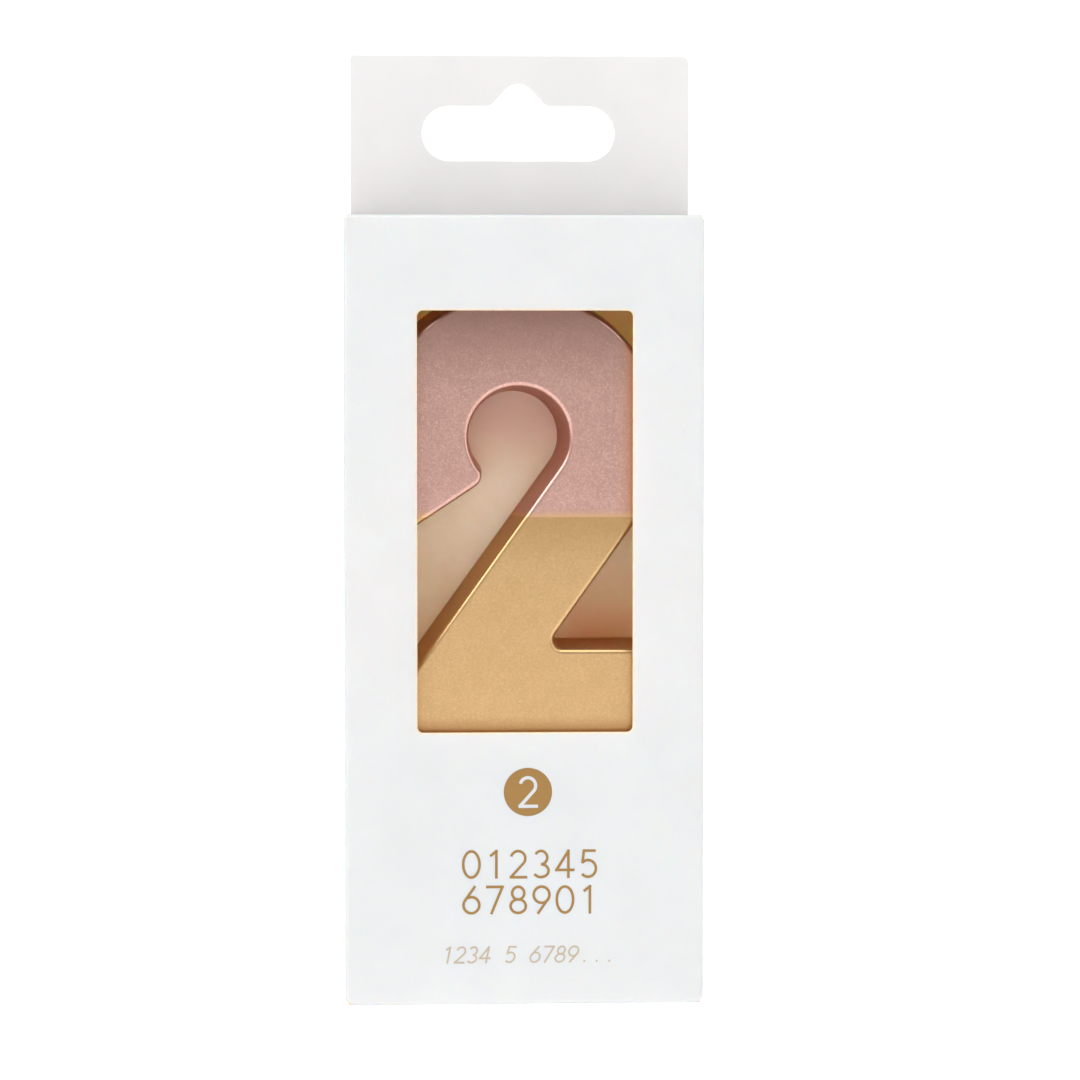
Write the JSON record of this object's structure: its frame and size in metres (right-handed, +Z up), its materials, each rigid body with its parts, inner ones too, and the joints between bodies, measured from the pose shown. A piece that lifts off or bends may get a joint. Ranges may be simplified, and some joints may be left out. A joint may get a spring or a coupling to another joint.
{
  "type": "number birthday candle",
  "caption": "Flat numeral birthday candle in rose and gold on round picks, standing in a folded white card carton with a window, tuck ends and a tab with a hang slot.",
  "frame": {"origin": "middle of the carton's base, on the surface that it stands on", "axes": "+Z up along the hang tab, +X to the right as seen from the window, +Y from the window to the back panel"},
  "size_m": [0.06, 0.017, 0.1595],
  "materials": {
    "card_outside": "matte",
    "card_inside": "matte",
    "wax": "satin",
    "rose_lacquer": "satin",
    "gold_lacquer": "satin",
    "wick_cotton": "matte",
    "pick_plastic": "gloss",
    "foil": "satin"
  },
  "bodies": {
    "carton": {"front_panel": "card_outside", "back_panel": "card_outside", "left_side_panel": "card_outside", "right_side_panel": "card_outside", "glue_flap": "card_inside"},
    "top_closure": {"top_closure_panel": "card_outside"},
    "top_lip": {"top_tuck_lip": "card_outside"},
    "top_flap_left": {"top_dust_flap_left": "card_inside"},
    "top_flap_right": {"top_dust_flap_right": "card_inside"},
    "bottom_closure": {"bottom_closure_panel": "card_outside"},
    "bottom_lip": {"bottom_tuck_lip": "card_outside"},
    "bottom_flap_left": {"bottom_dust_flap_left": "card_inside"},
    "bottom_flap_right": {"bottom_dust_flap_right": "card_inside"},
    "candle": {"wax_core": "wax", "rose_coat": "rose_lacquer", "gold_coat": "gold_lacquer", "wick": "wick_cotton", "pick_left": "pick_plastic", "pick_right": "pick_plastic"}
  },
  "joints": [
    {"name": "top_closure_hinge", "type": "hinge", "parent": "carton", "child": "top_closure", "pos_m": [0, -0.0085, 0.132], "axis": [1, 0, 0], "range_deg": [0, 165]},
    {"name": "top_lip_crease", "type": "hinge", "parent": "top_closure", "child": "top_lip", "pos_m": [0, 0.00675, 0.1315], "axis": [-1, 0, 0], "range_deg": [0, 88]},
    {"name": "top_flap_left_crease", "type": "hinge", "parent": "carton", "child": "top_flap_left", "pos_m": [-0.03, 0, 0.1315], "axis": [0, -1, 0], "range_deg": [0, 91]},
    {"name": "top_flap_right_crease", "type": "hinge", "parent": "carton", "child": "top_flap_right", "pos_m": [0.03, 0, 0.1315], "axis": [0, 1, 0], "range_deg": [0, 91]},
    {"name": "bottom_closure_hinge", "type": "hinge", "parent": "carton", "child": "bottom_closure", "pos_m": [0, -0.0085, 0], "axis": [-1, 0, 0], "range_deg": [0, 165]},
    {"name": "bottom_lip_crease", "type": "hinge", "parent": "bottom_closure", "child": "bottom_lip", "pos_m": [0, 0.00675, 0.0005], "axis": [1, 0, 0], "range_deg": [0, 88]},
    {"name": "bottom_flap_left_crease", "type": "hinge", "parent": "carton", "child": "bottom_flap_left", "pos_m": [-0.03, 0, 0.0005], "axis": [0, 1, 0], "range_deg": [0, 91]},
    {"name": "bottom_flap_right_crease", "type": "hinge", "parent": "carton", "child": "bottom_flap_right", "pos_m": [0.03, 0, 0.0005], "axis": [0, -1, 0], "range_deg": [0, 91]},
    {"name": "candle_lift", "type": "slide", "parent": "carton", "child": "candle", "axis": [0, 0, 1], "range_m": [0, 0.0027]}
  ],
  "couplings": [
    {"joint": "top_lip_crease", "follows": "top_closure_hinge", "ratio": 0.53},
    {"joint": "top_flap_left_crease", "follows": "top_closure_hinge", "ratio": 0.55},
    {"joint": "top_flap_right_crease", "follows": "top_closure_hinge", "ratio": 0.55},
    {"joint": "bottom_lip_crease", "follows": "bottom_closure_hinge", "ratio": 0.53},
    {"joint": "bottom_flap_left_crease", "follows": "bottom_closure_hinge", "ratio": 0.55},
    {"joint": "bottom_flap_right_crease", "follows": "bottom_closure_hinge", "ratio": 0.55}
  ]
}
